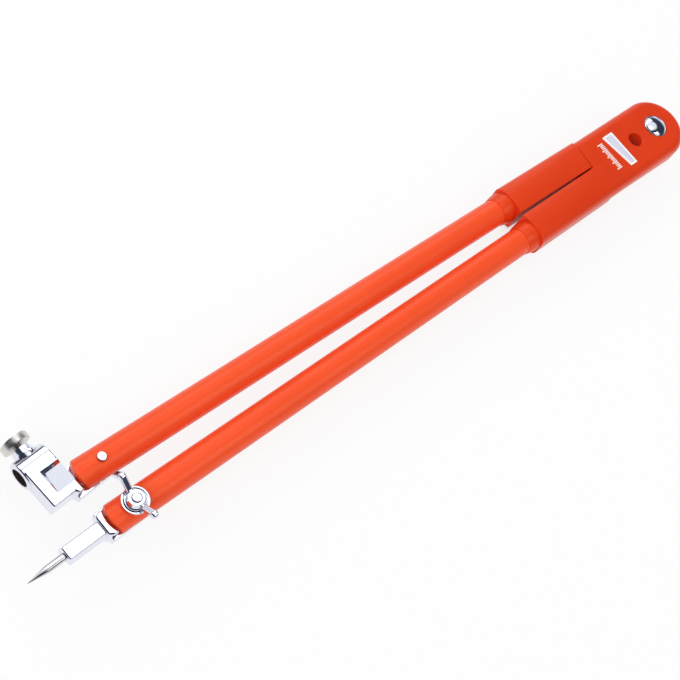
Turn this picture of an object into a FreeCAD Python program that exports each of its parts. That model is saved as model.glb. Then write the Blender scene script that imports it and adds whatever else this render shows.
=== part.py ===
import FreeCAD, Part
import math
import os
import Sketcher

# A large two-legged marking compass, lying closed on its back.
# X runs from the feet to the head, Y towards the pencil leg, Z out of the front.
# The origin is the centre of the hanging hole. The tube axes lie in the plane Z = 0.

os.makedirs("parts", exist_ok=True)
doc = FreeCAD.newDocument("compass")

# Driving dimensions in millimetres, angles in degrees
sizes = {
    # legs
    "tube_diameter": 16.6,
    "tube_wall": 1.2,
    "leg_reach": 427.3,
    "opening_angle": 0.85,
    "tube_end_radius": 11.5,
    "tube_end_shift": 3.4,
    "back_cut_length": 12,
    "saddle_length": 20,
    "saddle_end_gap": 0.4,
    # moulded head
    "plate_wall": 0.9,
    "sleeve_wall": 2,
    "inner_wall": 2.05,
    "crown_radius": 28,
    "crown_shift": 1.7,
    "head_fillet": 5.5,
    "head_end_shift": 0.9,
    "sleeve_reach": 131.4,
    "mouth_length": 8.4,
    "mouth_end_wall": 0.3,
    "mouth_step": 0.5,
    "tube_insertion": 22,
    "crown_fade_start": 86,
    "crown_fade_end": 50,
    "shoulder_radius": 64.5,
    "shoulder_gap": 0.5,
    "slit_gap": 0.2,
    "lap_gap": 0.3,
    "hole_offset": 20.8,
    "hole_diameter": 9.6,
    "hole_bevel": 0.6,
    # pivot
    "dome_diameter": 15.6,
    "dome_rise": 2.2,
    "dome_rim": 1.5,
    "dome_clearance": 0.2,
    "pivot_diameter": 8,
    "pivot_thread": 6,
    "bush_wall": 1,
    "running_clearance": 0.05,
    "friction_diameter": 22,
    "friction_thickness": 1,
    "nut_pocket_diameter": 16,
    "nut_pocket_depth": 5.4,
    "pivot_washer_diameter": 12,
    "pivot_washer_thickness": 1.2,
    "pivot_nut_flats": 10,
    "pivot_nut_height": 4.6,
    "pivot_bolt_end": 0.4,
    # label plate
    "label_span": 24.9,
    "label_wide": 9.2,
    "label_narrow": 5.8,
    "label_offset": 33.2,
    "label_thickness": 1,
    "label_proud": 0.5,
    # clamp hardware
    "bolt_diameter": 5,
    "bolt_hole_clearance": 0.1,
    "hex_flats": 6.8,
    "hex_height": 2.8,
    "bolt_overhang": 0.6,
    "washer_diameter": 14.4,
    "washer_thickness": 1.2,
    "washer_rim": 0.9,
    "washer_lift": 0.5,
    "spacer_diameter": 10,
    "spacer_thickness": 1.6,
    "nut_base_diameter": 11,
    "nut_top_diameter": 8.6,
    "nut_height": 4,
    "wing_span": 28,
    "wing_thickness": 3.6,
    "wing_tip_radius": 2.1,
    "wing_tip_lift": 7,
    "wing_root_low": 0.9,
    "wing_root_high": 3.3,
    "needle_wing_angle": 93,
    "pencil_wing_angle": 37,
    # tongues of the two feet
    "tongue_width": 16.4,
    "tongue_depth": 7.5,
    "tongue_gap": 0.1,
    "tongue_fillet": 2,
    "end_clearance": 0.5,
    # needle foot
    "needle_swing": 1.9,
    "collar_front": 5.5,
    "collar_width": 13.8,
    "collar_length": 4.2,
    "bar_length": 21.2,
    "bar_front": 4,
    "bar_back": 4.6,
    "bar_front_width": 7.2,
    "bar_width": 10,
    "bar_waist": 2.4,
    "bar_chamfer": 0.9,
    "needle_diameter": 4.1,
    "needle_seat": 12,
    "needle_reach": 61.9,
    "needle_cone": 11,
    "needle_tip_diameter": 0.4,
    # pencil clamp
    "clamp_swing": 5.4,
    "slab_near": 15.6,
    "slab_length": 17.3,
    "slab_front": 5.3,
    "slab_edge": 4.7,
    "neck_edge": 6.6,
    "neck_length": 3.4,
    "barrel_offset": 18.3,
    "barrel_radius": 7.8,
    "barrel_overhang": 0.8,
    "pencil_bore": 10.6,
    "recess_depth": 1.9,
    "recess_length": 11,
    "recess_top": 13.2,
    "recess_slope": 2,
    "recess_bottom": 0.3,
    "boss_base_diameter": 12,
    "boss_top_diameter": 8.6,
    "boss_reach": 11.6,
    "knob_gap": 1.4,
    "knob_diameter": 16,
    "knob_thickness": 4,
    "knob_chamfer": 0.5,
    "knob_skin": 1,
    "tip_set_back": 0.1,
    # cuts
    "overrun": 2,
}

sheet = doc.addObject("Spreadsheet::Sheet", "Sizes")
for row, (name, value) in enumerate(sizes.items(), start=1):
    sheet.set("A%d" % row, name)
    sheet.set("B%d" % row, str(value))
    sheet.setAlias("B%d" % row, name)
doc.recompute()


class Size:
    """A length or a number that knows both its value and its formula on the sheet."""

    def __init__(self, value, text):
        self.value = value
        self.text = text

    def __add__(self, other):
        other = size(other)
        return Size(self.value + other.value, "(%s + %s)" % (self.text, other.text))

    def __sub__(self, other):
        other = size(other)
        return Size(self.value - other.value, "(%s - %s)" % (self.text, other.text))

    def __mul__(self, other):
        other = size(other)
        return Size(self.value * other.value, "(%s * %s)" % (self.text, other.text))

    def __truediv__(self, other):
        other = size(other)
        return Size(self.value / other.value, "(%s / %s)" % (self.text, other.text))

    def __neg__(self):
        return Size(-self.value, "(0 - %s)" % self.text)


def size(number):
    if isinstance(number, Size):
        return number
    return Size(float(number), "(%s)" % repr(number))


def root(number):
    return Size(math.sqrt(number.value), "sqrt(%s)" % number.text)


def sine(angle):
    return Size(math.sin(math.radians(angle.value)), "sin(%s)" % angle.text)


def cosine(angle):
    return Size(math.cos(math.radians(angle.value)), "cos(%s)" % angle.text)


def half_chord(radius, offset):
    """The reach of a circle's point that lies offset away from its diameter."""
    return root(radius * radius - offset * offset)


class Sheet:
    """Each driving dimension under its own name."""


s = Sheet()
for name in sizes:
    setattr(s, name, Size(float(sheet.get(name)), "Sizes.%s" % name))

zero = size(0)


def new_body(label):
    body = doc.addObject("PartDesign::Body", label)
    body.Label = label
    return body


def new_sketch(body, name, plane, across=zero, up=zero, out=zero):
    """A sketch on one of the body's own planes, moved within it and off it."""
    sketch = body.newObject("Sketcher::SketchObject", name)
    base = [f for f in body.Origin.OriginFeatures if f.Role == plane][0]
    sketch.AttachmentSupport = [(base, "")]
    sketch.MapMode = "FlatFace"
    for axis, offset in (("x", across), ("y", up), ("z", out)):
        sketch.setExpression("AttachmentOffset.Base." + axis, offset.text)
    return sketch


def tie(sketch, index, place, x, y):
    """Fix a point of the sketch at named distances from its origin."""
    for kind, distance in (("DistanceX", x), ("DistanceY", y)):
        if distance.value == 0:
            partner = -2 if kind == "DistanceX" else -1
            sketch.addConstraint(Sketcher.Constraint("PointOnObject", index, place, partner))
            continue
        number = sketch.addConstraint(
            Sketcher.Constraint(kind, -1, 1, index, place, distance.value)
        )
        sketch.setExpression("Constraints[%d]" % number, distance.text)


def bend(sketch, index, corner, after):
    """Set the radius of an arc, or the place of its centre where it is a half circle."""
    across, along = after[0] - corner[0], after[1] - corner[1]
    if math.hypot(across.value, along.value) < 2 * corner[2].value - 1e-6:
        number = sketch.addConstraint(Sketcher.Constraint("Radius", index, corner[2].value))
        sketch.setExpression("Constraints[%d]" % number, corner[2].text)
        return
    upright = abs(along.value) > abs(across.value)
    middle = (corner[0] + after[0]) / 2 if upright else (corner[1] + after[1]) / 2
    kind = "DistanceX" if upright else "DistanceY"
    if abs(middle.value) < 1e-9:
        sketch.addConstraint(
            Sketcher.Constraint("PointOnObject", index, 3, -2 if upright else -1)
        )
        return
    number = sketch.addConstraint(
        Sketcher.Constraint(kind, -1, 1, index, 3, middle.value)
    )
    sketch.setExpression("Constraints[%d]" % number, middle.text)


def trace(sketch, corners):
    """A closed outline. A corner is (x, y), or (x, y, radius, side) where an arc follows it:
    side 1 bows to the left of the way to the next corner, and side -1 to the right."""
    first = sketch.GeometryCount
    count = len(corners)
    for n, corner in enumerate(corners):
        a = FreeCAD.Vector(corner[0].value, corner[1].value, 0)
        after = corners[(n + 1) % count]
        b = FreeCAD.Vector(after[0].value, after[1].value, 0)
        if len(corner) == 2:
            sketch.addGeometry(Part.LineSegment(a, b), False)
            continue
        radius, side = corner[2].value, corner[3]
        middle, along = (a + b) / 2, b - a
        left = FreeCAD.Vector(-along.y, along.x, 0).normalize()
        reach = math.sqrt(max(radius**2 - (along.Length / 2) ** 2, 0))
        crest = middle + left * side * (radius - reach)
        sketch.addGeometry(Part.Arc(a, crest, b), False)
    ends = []
    for n, corner in enumerate(corners):
        index = first + n
        flipped = False
        if len(corner) == 4:
            start = sketch.getPoint(index, 1)
            flipped = abs(start.x - corner[0].value) + abs(start.y - corner[1].value) > 1e-6
        ends.append((2, 1) if flipped else (1, 2))
    for n, corner in enumerate(corners):
        index = first + n
        following = first + (n + 1) % count
        sketch.addConstraint(
            Sketcher.Constraint("Coincident", index, ends[n][1], following, ends[(n + 1) % count][0])
        )
        tie(sketch, index, ends[n][0], corner[0], corner[1])
        if len(corner) == 4:
            bend(sketch, index, corner, corners[(n + 1) % count])


def ring(sketch, x, y, radius):
    """A full circle."""
    centre = FreeCAD.Vector(x.value, y.value, 0)
    normal = FreeCAD.Vector(0, 0, 1)
    index = sketch.addGeometry(Part.Circle(centre, normal, radius.value), False)
    number = sketch.addConstraint(Sketcher.Constraint("Radius", index, radius.value))
    sketch.setExpression("Constraints[%d]" % number, radius.text)
    tie(sketch, index, 3, x, y)


def box_corners(left, low, right, high):
    return [(left, low), (right, low), (right, high), (left, high)]


def hexagon(flats):
    """The corners of a hexagon that measures flats across, about the origin."""
    radius = flats / root(size(3))
    return [(radius * cosine(size(60 * n)), radius * sine(size(60 * n))) for n in range(6)]


def pad(body, sketch, length):
    feature = body.newObject("PartDesign::Pad", sketch.Name + "_pad")
    feature.Profile = sketch
    feature.setExpression("Length", length.text)
    sketch.Visibility = False
    return feature


def cut(body, sketch, depth):
    """A pocket that goes from the sketch against its normal."""
    feature = body.newObject("PartDesign::Pocket", sketch.Name + "_cut")
    feature.Profile = sketch
    feature.setExpression("Length", depth.text)
    return feature


def turn(body, sketch, axis="H_Axis"):
    feature = body.newObject("PartDesign::Revolution", sketch.Name + "_turn")
    feature.Profile = sketch
    feature.ReferenceAxis = (sketch, [axis])
    feature.Angle = 360
    return feature


def groove(body, sketch, axis="H_Axis"):
    feature = body.newObject("PartDesign::Groove", sketch.Name + "_groove")
    feature.Profile = sketch
    feature.ReferenceAxis = (sketch, [axis])
    feature.Angle = 360
    return feature


def dress(body, kind, chosen, amount):
    """Round or bevel the edges of the body's last feature that chosen(edge) accepts."""
    doc.recompute()
    base = body.Tip
    names = [
        "Edge%d" % (n + 1) for n, edge in enumerate(base.Shape.Edges) if chosen(edge)
    ]
    feature = body.newObject("PartDesign::" + kind, base.Name + "_" + kind.lower())
    feature.Base = (base, names)
    prop = "Radius" if kind == "Fillet" else "Size"
    feature.setExpression(prop, amount.text)
    return feature


def layer(body, name, corners, low, high):
    """A slab of the given outline between two heights."""
    sketch = new_sketch(body, name, "XY_Plane", out=low)
    trace(sketch, corners)
    return pad(body, sketch, high - low)


def dig(body, name, corners, low, high):
    """Take an outline away between two heights."""
    sketch = new_sketch(body, name, "XY_Plane", out=high)
    trace(sketch, corners)
    return cut(body, sketch, high - low)


def drill(body, name, x, y, radius, low, high):
    """A round hole along Z between two heights."""
    sketch = new_sketch(body, name, "XY_Plane", out=high)
    ring(sketch, x, y, radius)
    return cut(body, sketch, high - low)


def on_plane(edge, axis, place):
    return all(abs(getattr(v.Point, axis) - place) < 1e-4 for v in edge.Vertexes) and (
        abs(getattr(edge.CenterOfMass, axis) - place) < 1e-4
    )


def put(body, x, y, z, angle=zero):
    """Place a body: its own origin at x, y, z, turned about Z."""
    body.Placement = FreeCAD.Placement(
        FreeCAD.Vector(x.value, y.value, z.value),
        FreeCAD.Rotation(FreeCAD.Vector(0, 0, 1), angle.value),
    )
    for axis, offset in (("x", x), ("y", y), ("z", z)):
        body.setExpression("Placement.Base." + axis, offset.text)
    if angle.value:
        body.setExpression("Placement.Rotation.Angle", angle.text)


# Shared measures, all worked out from the sheet
tube_radius = s.tube_diameter / 2
leg_offset = tube_radius + s.inner_wall
sleeve_radius = tube_radius + s.sleeve_wall
head_half_width = leg_offset + sleeve_radius
plate_top = tube_radius + s.plate_wall
lap = s.lap_gap / 2
head_end = s.sleeve_reach + s.mouth_length
bolt_hole_radius = s.bolt_diameter / 2 + s.bolt_hole_clearance

# The pivot axis, and the clamp bolts of the two legs, in the part's frame
pivot_x = s.hole_offset
needle_bolt = (pivot_x - s.leg_reach, -leg_offset)
lean_cosine = cosine(s.opening_angle)
lean_sine = sine(s.opening_angle)
pencil_bolt = (
    pivot_x - s.leg_reach * lean_cosine + leg_offset * lean_sine,
    s.leg_reach * lean_sine + leg_offset * lean_cosine,
)


# The head's section. Each half of its width is a low crown that runs into a rounded side.
def head_section(sketch, crowned, whole=True):
    """The outline of the head on a plane across it: crowned or flat, and whole or half."""
    side_y = head_half_width
    round_y = side_y - s.head_fillet
    if crowned:
        crown_y = sleeve_radius - s.crown_shift
        crown_z = plate_top - half_chord(s.crown_radius, crown_y)
        reach = s.crown_radius - s.head_fillet
        drop = half_chord(reach, round_y - crown_y)
        round_z = crown_z + drop
        share = s.crown_radius / reach
        top = (crown_y + (round_y - crown_y) * share, crown_z + drop * share)
    else:
        round_z = plate_top - s.head_fillet
        top = (round_y, plate_top)

    def step(y, z, radius=None):
        return (y, z) if radius is None else (y, z, radius, -1)

    crown = s.crown_radius if crowned else None
    fillet = s.head_fillet
    outline = [
        step(zero, -plate_top, crown),
        step(top[0], -top[1], fillet),
        step(side_y, -round_z),
        step(side_y, round_z, fillet),
        step(top[0], top[1], crown),
        step(zero, plate_top, crown),
    ]
    if whole:
        outline += [
            step(-top[0], top[1], fillet),
            step(-side_y, round_z),
            step(-side_y, -round_z, fillet),
            step(-top[0], -top[1], crown),
        ]
    else:
        outline[-1] = step(zero, plate_top)
    trace(sketch, outline)


# Moulded head: two like halves, lapped over each other at Z = 0.
# side 1 carries the needle leg and the front plate, side -1 the pencil leg and the back plate.
def head_half(label, side):
    body = new_body(label)

    def heights(low, high):
        return (low, high) if side > 0 else (-high, -low)

    def y(value):
        return value if side > 0 else -value

    def outline(corners):
        # A half turn about X swaps left and right, so the outline runs the other way.
        turned = []
        for corner in corners:
            place = (corner[0], y(corner[1]))
            arc = (corner[2], corner[3] * side) if len(corner) == 4 else ()
            turned.append(place + arc)
        return turned

    # the sleeves, crowned over each tube, then fading into the flat plate
    sleeves = new_sketch(body, label + "_sleeves", "YZ_Plane", out=-s.sleeve_reach)
    head_section(sleeves, True)
    pad(body, sleeves, s.sleeve_reach - s.crown_fade_start)
    fade_from = new_sketch(body, label + "_fade_from", "YZ_Plane", out=-s.crown_fade_start)
    head_section(fade_from, True)
    fade_to = new_sketch(body, label + "_fade_to", "YZ_Plane", out=-s.crown_fade_end)
    head_section(fade_to, False)
    fade = body.newObject("PartDesign::AdditiveLoft", label + "_fade")
    fade.Profile = fade_from
    fade.Sections = [fade_to]
    fade.Ruled = True
    plate = new_sketch(body, label + "_plate", "YZ_Plane", out=-s.crown_fade_end)
    head_section(plate, False)
    pad(body, plate, s.crown_fade_end + s.head_end_shift)

    # the round end of the plate
    end = new_sketch(body, label + "_end", "YZ_Plane", out=s.head_end_shift)
    head_section(end, False, False)
    turn(body, end, "V_Axis")

    # the room of the other half's plate: all that lies within the shoulder, behind the lap
    past = s.overrun
    wide = head_half_width + past
    inside = s.shoulder_radius + s.shoulder_gap
    edge = -s.slit_gap / 2
    other_plate = [
        (-half_chord(inside, wide), -wide, inside, 1),
        (-half_chord(inside, edge), edge),
        (-head_end, edge),
        (-head_end, wide),
        (wide, wide),
        (wide, -wide),
    ]
    low, high = heights(-plate_top - past, lap)
    dig(body, label + "_other_plate", outline(other_plate), low, high)

    # the room of the other half's sleeve: past the shoulder and over the slit, before the lap
    other_sleeve = [
        (-half_chord(s.shoulder_radius, edge), edge, s.shoulder_radius, 1),
        (-half_chord(s.shoulder_radius, wide), wide),
        (-head_end, wide),
        (-head_end, edge),
    ]
    low, high = heights(-lap, plate_top + past)
    dig(body, label + "_other_sleeve", outline(other_sleeve), low, high)

    # the round mouth of the sleeve, which bows in to the tube
    start_radius = sleeve_radius - s.mouth_step
    end_radius = tube_radius + s.mouth_end_wall
    fall = start_radius - end_radius
    bow = (s.mouth_length * s.mouth_length + fall * fall) / (fall * 2)
    mouth = new_sketch(body, label + "_mouth", "XY_Plane", up=y(-leg_offset))
    trace(
        mouth,
        [
            (-s.sleeve_reach, zero),
            (-s.sleeve_reach, start_radius, bow, -1),
            (-head_end, end_radius),
            (-head_end, zero),
        ],
    )
    turn(body, mouth)

    # the socket of the tube
    socket = new_sketch(
        body,
        label + "_socket",
        "YZ_Plane",
        across=y(-leg_offset),
        out=s.tube_insertion - head_end,
    )
    ring(socket, zero, zero, tube_radius)
    cut(body, socket, s.tube_insertion + past)

    # the hanging hole, in line through both halves when the compass is at rest
    lean = zero if side > 0 else s.opening_angle
    low, high = heights(lap - past, plate_top + past)
    hole_x = -s.hole_offset * cosine(lean)
    hole_y = -s.hole_offset * sine(lean)
    drill(body, label + "_hanging_hole", hole_x, hole_y, s.hole_diameter / 2, low, high)

    def hole_rim(edge):
        centre = FreeCAD.Vector(hole_x.value, hole_y.value, side * plate_top.value)
        return (edge.CenterOfMass - centre).Length < 1e-3

    dress(body, "Chamfer", hole_rim, s.hole_bevel)

    # the recess of the friction washer
    sink = s.friction_thickness / 2
    low, high = heights(lap - past, sink)
    recess_radius = s.friction_diameter / 2 + s.dome_clearance
    drill(body, label + "_friction_recess", zero, zero, recess_radius, low, high)
    return body


head_front = head_half("head_front_half", 1)
bolt_seat = plate_top - s.dome_rim
drill(
    head_front,
    "dome_seat",
    zero,
    zero,
    s.dome_diameter / 2 + s.dome_clearance,
    bolt_seat,
    plate_top + s.overrun,
)
drill(head_front, "front_pivot_hole", zero, zero, s.pivot_diameter / 2, -lap, plate_top)
label_corners = [
    (-s.label_offset, -s.label_span / 2),
    (-s.label_offset, s.label_span / 2),
    (-s.label_offset - s.label_wide, s.label_span / 2),
    (-s.label_offset - s.label_narrow, -s.label_span / 2),
]
label_floor = plate_top + s.label_proud - s.label_thickness
dig(head_front, "label_seat", label_corners, label_floor, plate_top + s.overrun)
put(head_front, pivot_x, zero, zero)

head_back = head_half("head_back_half", -1)
nut_seat = s.nut_pocket_depth - plate_top
drill(
    head_back,
    "nut_pocket",
    zero,
    zero,
    s.nut_pocket_diameter / 2,
    -plate_top - s.overrun,
    nut_seat,
)
bush_radius = s.pivot_diameter / 2 + s.running_clearance + s.bush_wall
drill(head_back, "bush_seat", zero, zero, bush_radius, nut_seat - s.overrun, zero)
put(head_back, pivot_x, zero, zero, -s.opening_angle)

# Label plate: a plain pale plate let into the front of the head
label_plate = new_body("label_plate")
layer(label_plate, "label_outline", label_corners, label_floor, plate_top + s.label_proud)
put(label_plate, pivot_x, zero, zero)


# Leg tubes: each foot end is rounded, and its back half is cut away for the foot's tongue
def leg_tube(label, side):
    body = new_body(label)
    y = -leg_offset if side > 0 else leg_offset
    inner_end = head_end - s.tube_insertion
    outer_end = s.leg_reach + s.tube_end_shift + s.tube_end_radius
    section = new_sketch(body, label + "_section", "YZ_Plane", across=y, out=-outer_end)
    ring(section, zero, zero, tube_radius)
    ring(section, zero, zero, tube_radius - s.tube_wall)
    pad(body, section, outer_end - inner_end)

    wide = tube_radius + s.overrun / 2
    centre = -s.leg_reach - s.tube_end_shift
    arc_x = centre - half_chord(s.tube_end_radius, wide)
    far = -outer_end - s.overrun
    rounding = [
        (arc_x, y + wide, s.tube_end_radius, -1),
        (arc_x, y - wide),
        (far, y - wide),
        (far, y + wide),
    ]
    top = tube_radius + s.overrun
    dig(body, label + "_rounding", rounding, -top, top)
    open_back = box_corners(far, y - wide, s.back_cut_length - s.leg_reach, y + wide)
    dig(body, label + "_open_back", open_back, -top, zero)
    drill(body, label + "_bolt_hole", -s.leg_reach, y, bolt_hole_radius, zero, top)
    return body


needle_tube = leg_tube("needle_leg_tube", 1)
put(needle_tube, pivot_x, zero, zero)
pencil_tube = leg_tube("pencil_leg_tube", -1)
put(pencil_tube, pivot_x, zero, zero, -s.opening_angle)


# Saddles: half-round fillers in the front half of each foot end, drilled for the clamp bolt
# and rounded in plan like the tube's end
def saddle(label, bolt, angle):
    body = new_body(label)
    inner = tube_radius - s.tube_wall
    end_radius = s.tube_end_radius - s.saddle_end_gap
    reach = s.tube_end_shift + end_radius
    section = new_sketch(body, label + "_section", "YZ_Plane", out=-reach)
    trace(section, [(inner, zero, inner, -1), (-inner, zero)])
    pad(body, section, s.saddle_length)
    wide = inner + s.overrun / 2
    arc_x = -s.tube_end_shift - half_chord(end_radius, wide)
    far = -reach - s.overrun
    rounding = [(arc_x, wide, end_radius, -1), (arc_x, -wide), (far, -wide), (far, wide)]
    dig(body, label + "_rounding", rounding, -s.overrun, inner + s.overrun)
    drill(body, label + "_hole", zero, zero, bolt_hole_radius, -s.overrun, inner + s.overrun)
    put(body, bolt[0], bolt[1], zero, angle)
    return body


saddle("needle_leg_saddle", needle_bolt, zero)
saddle("pencil_leg_saddle", pencil_bolt, -s.opening_angle)

# Pivot: a domed bolt through both halves, a friction washer between them, and a bush,
# a washer and a lock nut sunk in the back half
pivot_bolt = new_body("pivot_bolt")
dome_radius = s.dome_diameter / 2
dome_sphere = (dome_radius * dome_radius + s.dome_rise * s.dome_rise) / (s.dome_rise * 2)
washer_face = nut_seat - s.pivot_washer_thickness
nut_face = washer_face - s.pivot_nut_height
profile = new_sketch(pivot_bolt, "pivot_bolt_profile", "XZ_Plane")
trace(
    profile,
    [
        (zero, nut_face - s.pivot_bolt_end),
        (s.pivot_thread / 2, nut_face - s.pivot_bolt_end),
        (s.pivot_thread / 2, nut_seat),
        (s.pivot_diameter / 2, nut_seat),
        (s.pivot_diameter / 2, bolt_seat),
        (dome_radius, bolt_seat),
        (dome_radius, plate_top, dome_sphere, -1),
        (zero, plate_top + s.dome_rise),
    ],
)
turn(pivot_bolt, profile, "V_Axis")
put(pivot_bolt, pivot_x, zero, zero)


def collar_ring(label, outer, inner, low, high, place, angle=zero):
    """A plain ring between two heights, about a given axis."""
    body = new_body(label)
    section = new_sketch(body, label + "_section", "XY_Plane", out=low)
    ring(section, zero, zero, outer)
    ring(section, zero, zero, inner)
    pad(body, section, high - low)
    put(body, place[0], place[1], zero, angle)
    return body


pivot_place = (pivot_x, zero)
collar_ring(
    "pivot_friction_washer",
    s.friction_diameter / 2,
    s.pivot_diameter / 2,
    -s.friction_thickness / 2 + s.running_clearance,
    s.friction_thickness / 2,
    pivot_place,
)
collar_ring(
    "pivot_bush",
    bush_radius,
    s.pivot_diameter / 2 + s.running_clearance,
    nut_seat + s.running_clearance,
    -s.friction_thickness / 2,
    pivot_place,
)
collar_ring(
    "pivot_back_washer",
    s.pivot_washer_diameter / 2,
    s.pivot_thread / 2,
    washer_face,
    nut_seat - s.running_clearance,
    pivot_place,
)
pivot_nut = new_body("pivot_lock_nut")
layer(pivot_nut, "pivot_nut_outline", hexagon(s.pivot_nut_flats), nut_face, washer_face)
drill(pivot_nut, "pivot_nut_thread", zero, zero, s.pivot_thread / 2, nut_face, washer_face)
put(pivot_nut, pivot_x, zero, zero)

# Clamp hardware: one set for each foot. The needle leg has its wing nut at the front,
# the pencil leg at the back.
front_face = tube_radius
back_face = -s.tongue_depth


def clamp_bolt(label, head_low, head_high, shank_low, shank_high, place, angle):
    body = new_body(label)
    layer(body, label + "_head", hexagon(s.hex_flats), head_low, head_high)
    section = new_sketch(body, label + "_shank", "XY_Plane", out=shank_low)
    ring(section, zero, zero, s.bolt_diameter / 2)
    pad(body, section, shank_high - shank_low)
    put(body, place[0], place[1], zero, angle)
    return body


def dished_washer(label, face, side, place, angle):
    """A washer whose rim is lifted away from the tube."""
    body = new_body(label)

    def z(value):
        return face + value if side > 0 else face - value

    bore = s.bolt_diameter / 2 + s.running_clearance
    rim = s.washer_diameter / 2
    well = rim - s.washer_rim * 2
    foot = s.washer_lift
    section = new_sketch(body, label + "_section", "XZ_Plane")
    corners = [
        (bore, z(zero)),
        (well, z(zero)),
        (rim, z(foot)),
        (rim, z(foot + s.washer_thickness)),
        (rim - s.washer_rim, z(foot + s.washer_thickness)),
        (well, z(s.washer_thickness)),
        (bore, z(s.washer_thickness)),
    ]
    trace(section, corners)
    turn(body, section, "V_Axis")
    put(body, place[0], place[1], zero, angle)
    return body


def wing_nut(label, face, side, place, angle):
    """A conical nut with two round-tipped wings."""
    body = new_body(label)

    def z(value):
        return face + value if side > 0 else face - value

    bore = s.bolt_diameter / 2 + s.running_clearance
    core = new_sketch(body, label + "_core", "XZ_Plane")
    trace(
        core,
        [
            (bore, z(zero)),
            (s.nut_base_diameter / 2, z(zero)),
            (s.nut_top_diameter / 2, z(s.nut_height)),
            (bore, z(s.nut_height)),
        ],
    )
    turn(body, core, "V_Axis")
    tip_x = s.wing_span / 2 - s.wing_tip_radius
    low = s.wing_tip_lift - s.wing_tip_radius
    high = s.wing_tip_lift + s.wing_tip_radius
    root_x = bore + s.wing_root_low
    for name, way in (("_right_wing", 1), ("_left_wing", -1)):
        blade = new_sketch(body, label + name, "XZ_Plane", out=-s.wing_thickness / 2)

        def x(value, way=way):
            return value if way > 0 else -value

        trace(
            blade,
            [
                (x(root_x), z(s.wing_root_low)),
                (x(tip_x), z(low), s.wing_tip_radius, -way * side),
                (x(tip_x), z(high)),
                (x(root_x), z(s.wing_root_high)),
            ],
        )
        pad(body, blade, s.wing_thickness)
    put(body, place[0], place[1], zero, angle)
    return body


spacer_face = back_face - s.running_clearance
needle_nut_face = front_face + s.washer_thickness + s.running_clearance
pencil_nut_face = spacer_face - s.washer_thickness - s.running_clearance
needle_head = spacer_face - s.spacer_thickness
clamp_bolt(
    "needle_clamp_bolt",
    needle_head - s.hex_height,
    needle_head,
    needle_head,
    needle_nut_face + s.nut_height + s.bolt_overhang,
    needle_bolt,
    zero,
)
collar_ring(
    "needle_back_washer",
    s.spacer_diameter / 2,
    s.bolt_diameter / 2,
    needle_head,
    spacer_face,
    needle_bolt,
)
dished_washer("needle_dished_washer", front_face, 1, needle_bolt, zero)
wing_nut("needle_wing_nut", needle_nut_face, 1, needle_bolt, s.needle_wing_angle)

clamp_bolt(
    "pencil_clamp_bolt",
    front_face,
    front_face + s.hex_height,
    pencil_nut_face - s.nut_height - s.bolt_overhang,
    front_face,
    pencil_bolt,
    -s.opening_angle,
)
dished_washer("pencil_dished_washer", spacer_face, -1, pencil_bolt, zero)
wing_nut("pencil_wing_nut", pencil_nut_face, -1, pencil_bolt, -s.pencil_wing_angle)


# Feet: plated castings whose tongues lie in the open back of the tubes and swing there.
# Each is drawn about its clamp bolt, with the free end towards -X.
def tongue(body, name, reach):
    half = s.tongue_width / 2
    corners = [
        (zero, -half, half, -1),
        (zero, half),
        (-reach, half),
        (-reach, -half),
    ]
    layer(body, name + "_tongue", corners, back_face, -s.tongue_gap)

    def back_rim(edge):
        return on_plane(edge, "z", back_face.value) and not on_plane(edge, "x", -reach.value)

    dress(body, "Fillet", back_rim, s.tongue_fillet)


needle_foot = new_body("needle_foot")
end_reach = s.tube_end_shift + s.tube_end_radius + s.end_clearance
collar_half = s.collar_width / 2
collar_far = end_reach + s.collar_length
tongue(needle_foot, "needle_foot", end_reach + s.collar_length / 2)
collar_arc_x = -half_chord(end_reach, collar_half)
layer(
    needle_foot,
    "needle_collar",
    [
        (collar_arc_x, collar_half, end_reach, -1),
        (collar_arc_x, -collar_half),
        (-end_reach, -collar_half),
        (-collar_far, -s.bar_width / 2),
        (-collar_far, s.bar_width / 2),
        (-end_reach, collar_half),
    ],
    back_face,
    s.collar_front,
)
bar_end = collar_far + s.bar_length
bar_section = new_sketch(needle_foot, "needle_bar", "YZ_Plane", out=-bar_end)
front_half = s.bar_front_width / 2
bar_half = s.bar_width / 2
back_half = bar_half - s.bar_waist / 2
trace(
    bar_section,
    [
        (front_half, s.bar_front),
        (bar_half, -s.bar_waist),
        (back_half, -s.bar_back),
        (-back_half, -s.bar_back),
        (-bar_half, -s.bar_waist),
        (-front_half, s.bar_front),
    ],
)
pad(needle_foot, bar_section, s.bar_length + s.collar_length / 2)
dress(
    needle_foot,
    "Chamfer",
    lambda edge: on_plane(edge, "x", -bar_end.value),
    s.bar_chamfer,
)
needle_socket = new_sketch(needle_foot, "needle_socket", "YZ_Plane", out=s.needle_seat - bar_end)
ring(needle_socket, zero, zero, s.needle_diameter / 2)
cut(needle_foot, needle_socket, s.needle_seat + s.overrun)
drill(
    needle_foot,
    "needle_foot_hole",
    zero,
    zero,
    bolt_hole_radius,
    back_face - s.overrun,
    zero,
)
put(needle_foot, needle_bolt[0], needle_bolt[1], zero, s.needle_swing)

needle = new_body("needle_point")
needle_profile = new_sketch(needle, "needle_profile", "XY_Plane")
needle_radius = s.needle_diameter / 2
trace(
    needle_profile,
    [
        (s.needle_seat - bar_end, zero),
        (s.needle_seat - bar_end, needle_radius),
        (s.needle_cone - s.needle_reach, needle_radius),
        (-s.needle_reach, s.needle_tip_diameter / 2),
        (-s.needle_reach, zero),
    ],
)
turn(needle, needle_profile)
put(needle, needle_bolt[0], needle_bolt[1], zero, s.needle_swing)

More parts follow.
